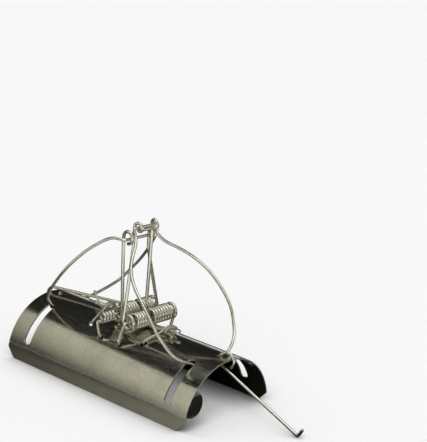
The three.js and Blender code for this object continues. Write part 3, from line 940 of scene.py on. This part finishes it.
def finish(name):
    """One of the trap's finishes, made when it is first asked for."""
    if name in bpy.data.materials:
        return bpy.data.materials[name]
    tones = bpy.context.scene.trap_finish
    along = (per(14 * MM), per(0.6 * MM), per(0.6 * MM))
    everywhere = (per(0.5 * MM),) * 3
    # The sizes of each: dull patches, grain and relief, then its glossiest and roughest
    if name == "rolled_tin_plate":
        # Cold rolled sheet, tinned: glossy, with a soft bloom, a fine orange peel and long lines
        sizes = (16 * MM, 1.3 * MM, 0.009 * MM, 0.06, 0.24)
        return metal(name, tones.plate, tones.plate_dull, *sizes, along)
    if name == "sheared_edge":
        # Bare steel where the press cut through the sheet: lighter, rougher
        sizes = (5 * MM, 0.5 * MM, 0.02 * MM, 0.3, 0.5)
        return metal(name, tones.cut, tones.plate_dull, *sizes, everywhere)
    if name == "drawn_spring_wire":
        # Hard drawn steel wire with a thin zinc flash: bright, with dull spots
        sizes = (7 * MM, 0.6 * MM, 0.006 * MM, 0.14, 0.3)
        return metal(name, tones.spring, tones.wire_dull, *sizes, everywhere, stained=0.35)
    if name == "zinc_plated_wire":
        # Mild steel wire, zinc plated: a little softer shine than the springs
        sizes = (9 * MM, 0.7 * MM, 0.008 * MM, 0.16, 0.34)
        return metal(name, tones.loop, tones.wire_dull, *sizes, everywhere, stained=0.4)
    # Annealed binding wire, hot galvanised: pale and satin, with a crystalline mottle
    sizes = (3 * MM, 0.5 * MM, 0.014 * MM, 0.28, 0.5)
    return metal(name, tones.tie, tones.wire_dull, *sizes, everywhere)


# Operators, one for each group of pieces


class MakeTunnel(bpy.types.Operator):
    """Cuts, rolls and finishes the slotted tunnel with its two bent in ears"""

    bl_idname = "trap.tunnel"
    bl_label = "Tunnel"

    def execute(self, context):
        sizes = context.scene.trap_tunnel
        tunnel = plate_piece("rolled_tunnel", blank_outlines(sizes), sizes.sheet, sizes.edge)
        roll_up(tunnel, sizes)
        ears = [ear_piece(sizes, half_turned) for half_turned in (False, True)]
        select_only(tunnel)
        for ear in ears:
            ear.select_set(True)
        bpy.ops.object.join()
        bpy.ops.object.shade_smooth_by_angle(angle=SHEET_SMOOTH)
        hand_over(tunnel, "base", finish("rolled_tin_plate"), "tunnel")
        tunnel.data.materials.append(finish("sheared_edge"))
        for face in tunnel.data.polygons:
            spoke = Vector((0, face.center.y, face.center.z)).normalized()
            broad = abs(face.normal.dot(spoke)) > BROAD_FACING
            on_ear = abs(face.normal.x) > EAR_FACING and face.area > EAR_FACE_AREA
            face.material_index = 0 if broad or on_ear else 1
        return {"FINISHED"}


# Each kind of wire: its size's name and its finish
WIRES = {
    "spring_wire": ("spring", "drawn_spring_wire"),
    "loop_wire": ("loop", "zinc_plated_wire"),
    "tie_wire": ("tie", "galvanised_binding_wire"),
}


def make_wire(name, path, slot, body, node, place=None):
    """One wire piece, from its path to its place on its body."""
    size, coating = WIRES[slot]
    piece = wire_piece(name, path, getattr(bpy.context.scene.trap_wire, size))
    if place:
        piece.data.transform(place)
    hand_over(piece, body, finish(coating), node)


class MakeSprings(bpy.types.Operator):
    """Winds the coils of both springs with their hairpins"""

    bl_idname = "trap.springs"
    bl_label = "Spring coils"

    def execute(self, context):
        for side, spring in (("left", LEFT_SPRING), ("right", RIGHT_SPRING)):
            path = coil_path(spring)
            node = f"{side}_spring_coils"
            make_wire(f"{side}_close_coils", path, "spring_wire", "base", node)
        return {"FINISHED"}


class MakeArms(bpy.types.Operator):
    """Bends the arms that the springs drive, with their hubs and eyes"""

    bl_idname = "trap.arms"
    bl_label = "Spring arms"

    def execute(self, context):
        arms = (
            ("left_near", left_arm_path(-1), "left_arms", "left_near_spring_arm"),
            ("left_far", left_arm_path(1), "left_arms", "left_far_spring_arm"),
            ("right", right_arm_path(), "right_arms", "right_spring_arms"),
        )
        for name, path, body, node in arms:
            make_wire(f"{name}_arm_wire", path, "spring_wire", body, node)
        return {"FINISHED"}


class MakeLoops(bpy.types.Operator):
    """Bends the two strike loops"""

    bl_idname = "trap.loops"
    bl_label = "Strike loops"

    def execute(self, context):
        loops = context.scene.trap_loop
        left = (loops.left_bar, loops.left_rise, loops.left_arm, -1, LEFT_LEGS)
        right = (loops.right_bar, loops.right_rise, loops.right_arm, 1, RIGHT_LEGS)
        for side, sizes in (("left", left), ("right", right)):
            path = loop_path(*sizes)
            node = f"{side}_strike_loop"
            make_wire(f"{side}_loop_wire", path, "loop_wire", f"{side}_loop", node)
        return {"FINISHED"}


class MakePins(bpy.types.Operator):
    """Bends the two trigger pins"""

    bl_idname = "trap.pins"
    bl_label = "Trigger pins"

    def execute(self, context):
        loops = context.scene.trap_loop
        places = (
            ("right", hung(1, loops.right_turn, 0)),
            ("left", hung(-1, math.pi + loops.left_turn, folded_over())),
        )
        for side, place in places:
            node = f"{side}_trigger_pin"
            make_wire(f"{side}_pin_wire", pin_path(), "loop_wire", f"{side}_pin", node, place)
        return {"FINISHED"}


class MakeAxles(bpy.types.Operator):
    """Bends the axle wires through the coils and down into the sheet"""

    bl_idname = "trap.axles"
    bl_label = "Spring axles"

    def execute(self, context):
        axles = (
            ("left", axle_path(-1, left_axle_near_end())),
            ("right", axle_path(1, right_axle_near_end())),
        )
        for side, path in axles:
            make_wire(f"{side}_axle_wire", path, "loop_wire", "base", f"{side}_spring_axle")
        return {"FINISHED"}


class MakeTies(bpy.types.Operator):
    """Winds the soft tie wires round the hairpins"""

    bl_idname = "trap.ties"
    bl_label = "Tie wires"

    def execute(self, context):
        ties = (("left", LEFT_SPRING, LEFT_TAIL), ("right", RIGHT_SPRING, RIGHT_TAIL))
        for side, spring, tail in ties:
            path = tie_path(spring, *tail)
            make_wire(f"{side}_binding", path, "tie_wire", "base", f"{side}_tie_wire")
        return {"FINISHED"}


# The studio

# Painted shade on the floor that only shiny surfaces see: the floor painted darker close to the
# trap, in metres on the floor, and its greys there
SHADE_POOL_MIDDLE = (-0.6, -0.5, 0)
SHADE_POOL_EDGE = {"From Min": 0.85, "From Max": 1.15}
OPEN_WAY = (0.74, -0.67, 0)
OPEN_EDGE = {"From Min": 0.07, "From Max": 0.13}
SHADE_POOL_LENGTH = {"From Min": -0.13, "From Max": 0.05}
# Greys of the painted shade, to the left and to the right in front of the trap
PAINTED_SHADE_GREYS = ("#454441", "#A09E96")
BEHIND_EDGE = {"From Min": -0.035, "From Max": -0.02}
# Near black painted shade from under the trap backwards
PAINTED_SHADE_BEHIND = "#262523"

# The floor's size, its soft shadow close to the trap, and its own faint light
FLOOR_SIZE = 16
SHADOW_REACH = 28 * MM
SHADOW_EDGE = {"From Min": 0.3, "From Max": 0.9}
SHADOW_GREY = "#4A4A4A"
FLOOR_GLOW = 0.22

# What shiny surfaces see of the world: by height, and by how close it is to the lamp's way
HORIZON = {"From Min": 0.02, "From Max": 0.1, "To Min": 1, "To Max": 0.02}
CEILING = {"From Min": 0.76, "From Max": 0.88, "To Max": 1.2}
LAMP_WAY = (0.36, -0.16, 0.92)
LAMP = {"From Min": 0.9, "From Max": 0.96, "To Max": 1.9}

# The cards: size, place and aim in metres
CARD_COLOUR = "#F0F0E1"
SIDE_CARD_SIZE = (1.65, 1.1)
SIDE_CARD_PLACE = (1.0, 0.7, 0.56)
FRONT_CARD_SIZE = (1.0, 1.0)
FRONT_CARD_PLACE = (0.95, -0.85, 0.62)
FRONT_CARD_AIM = (0, 0, 0.4)

# Their light: strength, the way it climbs, and the places on that way where it starts and is full
SIDE_STRENGTH = 0.82
SIDE_CLIMB = (-0.58, 0.82, 1)
SIDE_RISE = (0.14, 0.76)
FRONT_STRENGTH = 1.25
FRONT_CLIMB = (0, 0, 1)
FRONT_RISE = (-0.4, 0.9)

SUN_TURN = (math.radians(38), math.radians(24), 0)
SUN_SPREAD = math.radians(40)


def camera_place(studio):
    """The camera's matrix from its turn, height, roll and distance."""
    sin_az, cos_az = math.sin(studio.azimuth), math.cos(studio.azimuth)
    sin_el, cos_el = math.sin(studio.elevation), math.cos(studio.elevation)
    back = Vector((sin_az * cos_el, -cos_az * cos_el, sin_el))
    right = Vector((cos_az, sin_az, 0))
    up = back.cross(right)
    sin_r, cos_r = math.sin(studio.roll), math.cos(studio.roll)
    turn = Matrix((right * cos_r + up * sin_r, up * cos_r - right * sin_r, back)).transposed()
    target = TUNNEL_MIDDLE + Vector((studio.target_x, studio.target_y, studio.target_z))
    return Matrix.Translation(target + back * studio.distance) @ turn.to_4x4()


def glow(name, colour, strength, climb, low, high):
    """A studio card's light: none below the low place, full above the high one, as it climbs."""
    material = bpy.data.materials.new(name)
    material.use_nodes = True
    tree = material.node_tree
    tree.nodes.remove(tree.nodes["Principled BSDF"])
    spot = add_node(material, "ShaderNodeNewGeometry", {}).outputs["Position"]
    up = add_node(material, "ShaderNodeVectorMath", {0: spot, 1: climb}, operation="DOT_PRODUCT")
    fade = {"Value": up.outputs["Value"], "From Min": low, "From Max": high, "To Max": strength}
    faded = add_node(material, "ShaderNodeMapRange", fade).outputs[0]
    beam = {"Color": colour, "Strength": faded}
    light = add_node(material, "ShaderNodeEmission", beam)
    tree.links.new(light.outputs[0], tree.nodes["Material Output"].inputs["Surface"])
    return material


def studio_floor(tone):
    """Pale matt floor with its soft shadow, and painted shade close to the trap that only the metal
    sees.
    """
    bpy.ops.mesh.primitive_plane_add(size=FLOOR_SIZE)
    floor = bpy.context.object
    floor.name = "studio_floor"
    material = bpy.data.materials.new("studio_floor")
    material.use_nodes = True
    tree = material.node_tree
    shader = tree.nodes["Principled BSDF"]
    shader.inputs["Roughness"].default_value = 0.9
    shader.inputs["Specular IOR Level"].default_value = 0.1
    path = add_node(material, "ShaderNodeLightPath", {})
    spot = add_node(material, "ShaderNodeNewGeometry", {}).outputs["Position"]
    # Painted shade that only glossy rays see: a darker pool close to the trap, cleared far off and
    # ahead of it
    reach = {0: spot, 1: SHADE_POOL_MIDDLE}
    away = add_node(material, "ShaderNodeVectorMath", reach, operation="DISTANCE")
    pool = {"Value": away.outputs["Value"], **SHADE_POOL_EDGE}
    outside = add_node(material, "ShaderNodeMapRange", pool, interpolation_type="SMOOTHSTEP")
    ahead = {0: spot, 1: OPEN_WAY}
    ahead_of = add_node(material, "ShaderNodeVectorMath", ahead, operation="DOT_PRODUCT")
    clear = {"Value": ahead_of.outputs["Value"], **OPEN_EDGE}
    cleared = add_node(material, "ShaderNodeMapRange", clear, interpolation_type="SMOOTHSTEP")
    either_way = {0: outside.outputs[0], 1: cleared.outputs[0]}
    open_floor = add_node(material, "ShaderNodeMath", either_way, operation="MAXIMUM")
    place = add_node(material, "ShaderNodeSeparateXYZ", {0: spot}).outputs
    along = {"Value": place["X"], **SHADE_POOL_LENGTH}
    lighter = add_node(material, "ShaderNodeMapRange", along).outputs[0]
    # Greys of the painted shade: darker to the left, lighter to the right, near black behind
    left_grey, right_grey = [linear(painted_shade_grey) for painted_shade_grey in PAINTED_SHADE_GREYS]
    greys = {MIX_FACTOR: lighter, MIX_A: left_grey, MIX_B: right_grey}
    painted_shade_in_front = add_node(material, "ShaderNodeMix", greys, data_type="RGBA").outputs[MIX_OUT]
    across = {"Value": place["Y"], **BEHIND_EDGE}
    behind = add_node(material, "ShaderNodeMapRange", across).outputs[0]
    shades = {MIX_FACTOR: behind, MIX_A: painted_shade_in_front, MIX_B: linear(PAINTED_SHADE_BEHIND)}
    painted_shade_grey = add_node(material, "ShaderNodeMix", shades, data_type="RGBA").outputs[MIX_OUT]
    # Glossy rays see the painted shade inside the pool, in place of the floor's own colour
    shut = {0: 1.0, 1: open_floor.outputs[0]}
    in_shade_pool = add_node(material, "ShaderNodeMath", shut, operation="SUBTRACT")
    dim = {0: in_shade_pool.outputs[0], 1: path.outputs["Is Glossy Ray"]}
    painted_shade_share = add_node(material, "ShaderNodeMath", dim, operation="MULTIPLY").outputs[0]
    nearby = {"Distance": SHADOW_REACH}
    near = add_node(material, "ShaderNodeAmbientOcclusion", nearby, samples=8)
    lit = {"Value": near.outputs["AO"], **SHADOW_EDGE}
    soft = add_node(material, "ShaderNodeMapRange", lit).outputs[0]
    depths = {MIX_FACTOR: soft, MIX_A: linear(SHADOW_GREY), MIX_B: tone}
    shaded = add_node(material, "ShaderNodeMix", depths, data_type="RGBA").outputs[MIX_OUT]
    tones = {MIX_FACTOR: painted_shade_share, MIX_A: shaded, MIX_B: painted_shade_grey}
    colour = add_node(material, "ShaderNodeMix", tones, data_type="RGBA").outputs[MIX_OUT]
    tree.links.new(colour, shader.inputs["Base Color"])
    # Glossy rays see the floor's glow only outside the painted shade pool
    far = {0: open_floor.outputs[0], 1: path.outputs["Is Glossy Ray"]}
    shone = add_node(material, "ShaderNodeMath", far, operation="MULTIPLY").outputs[0]
    seen = {0: path.outputs["Is Camera Ray"], 1: shone}
    either = add_node(material, "ShaderNodeMath", seen, operation="MAXIMUM")
    lift = {0: either.outputs[0], 1: soft}
    lifted = add_node(material, "ShaderNodeMath", lift, operation="MULTIPLY")
    strength = {0: lifted.outputs[0], 1: FLOOR_GLOW}
    glowing = add_node(material, "ShaderNodeMath", strength, operation="MULTIPLY")
    tree.links.new(glowing.outputs[0], shader.inputs["Emission Strength"])
    shader.inputs["Emission Color"].default_value = (1, 1, 1, 1)
    floor.data.materials.append(material)


def studio_world(fill):
    """White to the camera, even on dull surfaces; shiny ones see a dark room and its lamp."""
    world = bpy.data.worlds.new("studio")
    bpy.context.scene.world = world
    world.use_nodes = True
    tree = world.node_tree
    background = tree.nodes["Background"]
    path = add_node(world, "ShaderNodeLightPath", {})
    way = add_node(world, "ShaderNodeTexCoord", {}).outputs["Generated"]
    height = add_node(world, "ShaderNodeSeparateXYZ", {0: way}).outputs["Z"]
    fade = {"Value": height, **HORIZON}
    room = add_node(world, "ShaderNodeMapRange", fade, interpolation_type="SMOOTHSTEP")
    above = {"Value": height, **CEILING}
    ceiling = add_node(world, "ShaderNodeMapRange", above, interpolation_type="SMOOTHSTEP")
    toward = add_node(world, "ShaderNodeVectorMath", {0: way, 1: LAMP_WAY}, operation="DOT_PRODUCT")
    spot = {"Value": toward.outputs["Value"], **LAMP}
    lamp = add_node(world, "ShaderNodeMapRange", spot, interpolation_type="SMOOTHSTEP")
    both = {0: room.outputs[0], 1: ceiling.outputs[0]}
    soft = add_node(world, "ShaderNodeMath", both, operation="MAXIMUM").outputs[0]
    all_three = {0: soft, 1: lamp.outputs[0]}
    glossy = add_node(world, "ShaderNodeMath", all_three, operation="MAXIMUM").outputs[0]
    shiny = {MIX_FACTOR: path.outputs["Is Glossy Ray"], 2: fill, 3: glossy}
    mixed = add_node(world, "ShaderNodeMix", shiny).outputs[0]
    seen = {MIX_FACTOR: path.outputs["Is Camera Ray"], 2: mixed, 3: 1.0}
    strength = add_node(world, "ShaderNodeMix", seen).outputs[0]
    background.inputs["Color"].default_value = (1, 1, 1, 1)
    tree.links.new(strength, background.inputs["Strength"])


def on_side(place, side):
    """A place as it is, or with side -1 turned half round the trap."""
    return (side * place[0], side * place[1], place[2])


def soft_box(name, size, place, aim, *light):
    """A glowing card that only shiny surfaces see; its light as glow() takes it."""
    bpy.ops.mesh.primitive_plane_add(size=1)
    card = bpy.context.object
    card.name = name
    turn = (Vector(aim) - Vector(place)).to_track_quat("Z", "Y").to_matrix().to_4x4()
    scale = Matrix.Diagonal((size[0], size[1], 1, 1))
    card.data.transform(Matrix.Translation(place) @ turn @ scale)
    card.data.materials.append(glow(name, *light))
    card.visible_camera = False
    card.visible_diffuse = False
    card.visible_shadow = False


class MakeStudio(bpy.types.Operator):
    """Sets the floor, the cards, the lamp, the world and the camera"""

    bl_idname = "trap.studio"
    bl_label = "Studio"

    def execute(self, context):
        scene = context.scene
        studio = scene.trap_studio
        deselect()
        studio_floor(scene.trap_finish.floor)
        studio_world(studio.fill)
        warm = linear(CARD_COLOUR)
        for name, side in (("left_card", -1), ("back_card", 1)):
            place = on_side(SIDE_CARD_PLACE, side)
            light = (warm, SIDE_STRENGTH, on_side(SIDE_CLIMB, side), *SIDE_RISE)
            soft_box(name, SIDE_CARD_SIZE, place, (0, 0, place[2]), *light)
        light = (warm, FRONT_STRENGTH, FRONT_CLIMB, *FRONT_RISE)
        soft_box("front_card", FRONT_CARD_SIZE, FRONT_CARD_PLACE, FRONT_CARD_AIM, *light)
        bpy.ops.object.light_add(type="SUN", rotation=SUN_TURN)
        lamp = context.object
        lamp.data.energy = studio.key
        lamp.data.angle = SUN_SPREAD
        lamp.visible_glossy = False
        bpy.ops.object.camera_add()
        camera = context.object
        camera.matrix_world = camera_place(studio)
        camera.data.lens = studio.lens
        camera.data.clip_start = 10 * MM
        camera.data.clip_end = 50
        scene.camera = camera
        scene.view_settings.view_transform = "Standard"
        return {"FINISHED"}


STEPS = (
    MakeTunnel,
    MakeSprings,
    MakeArms,
    MakeLoops,
    MakePins,
    MakeAxles,
    MakeTies,
    MakeStudio,
)
GROUPS = {
    "trap_tunnel": TunnelSizes,
    "trap_wire": WireSizes,
    "trap_loop": LoopSizes,
    "trap_finish": FinishColours,
    "trap_studio": StudioSizes,
}


class TRAP_PT_panel(bpy.types.Panel):
    """The trap's sizes, finishes and steps"""

    bl_label = "Mole trap"
    bl_space_type = "VIEW_3D"
    bl_region_type = "UI"
    bl_category = "Mole trap"

    def draw(self, context):
        layout = self.layout
        for step in STEPS:
            layout.operator(step.bl_idname)
        for name in GROUPS:
            box = layout.box()
            group = getattr(context.scene, name)
            for key in group.__annotations__:
                box.prop(group, key)


def register():
    for group in GROUPS.values():
        bpy.utils.register_class(group)
    for name, group in GROUPS.items():
        setattr(bpy.types.Scene, name, bpy.props.PointerProperty(type=group))
    for step in (*STEPS, TRAP_PT_panel):
        bpy.utils.register_class(step)


def unregister():
    for step in (TRAP_PT_panel, *reversed(STEPS)):
        bpy.utils.unregister_class(step)
    for name, group in GROUPS.items():
        delattr(bpy.types.Scene, name)
        bpy.utils.unregister_class(group)


def main():
    """Builds every piece and the studio."""
    register()
    bpy.ops.trap.tunnel()
    bpy.ops.trap.springs()
    bpy.ops.trap.arms()
    bpy.ops.trap.loops()
    bpy.ops.trap.pins()
    bpy.ops.trap.axles()
    bpy.ops.trap.ties()
    bpy.ops.trap.studio()


if __name__ == "__main__":
    main()
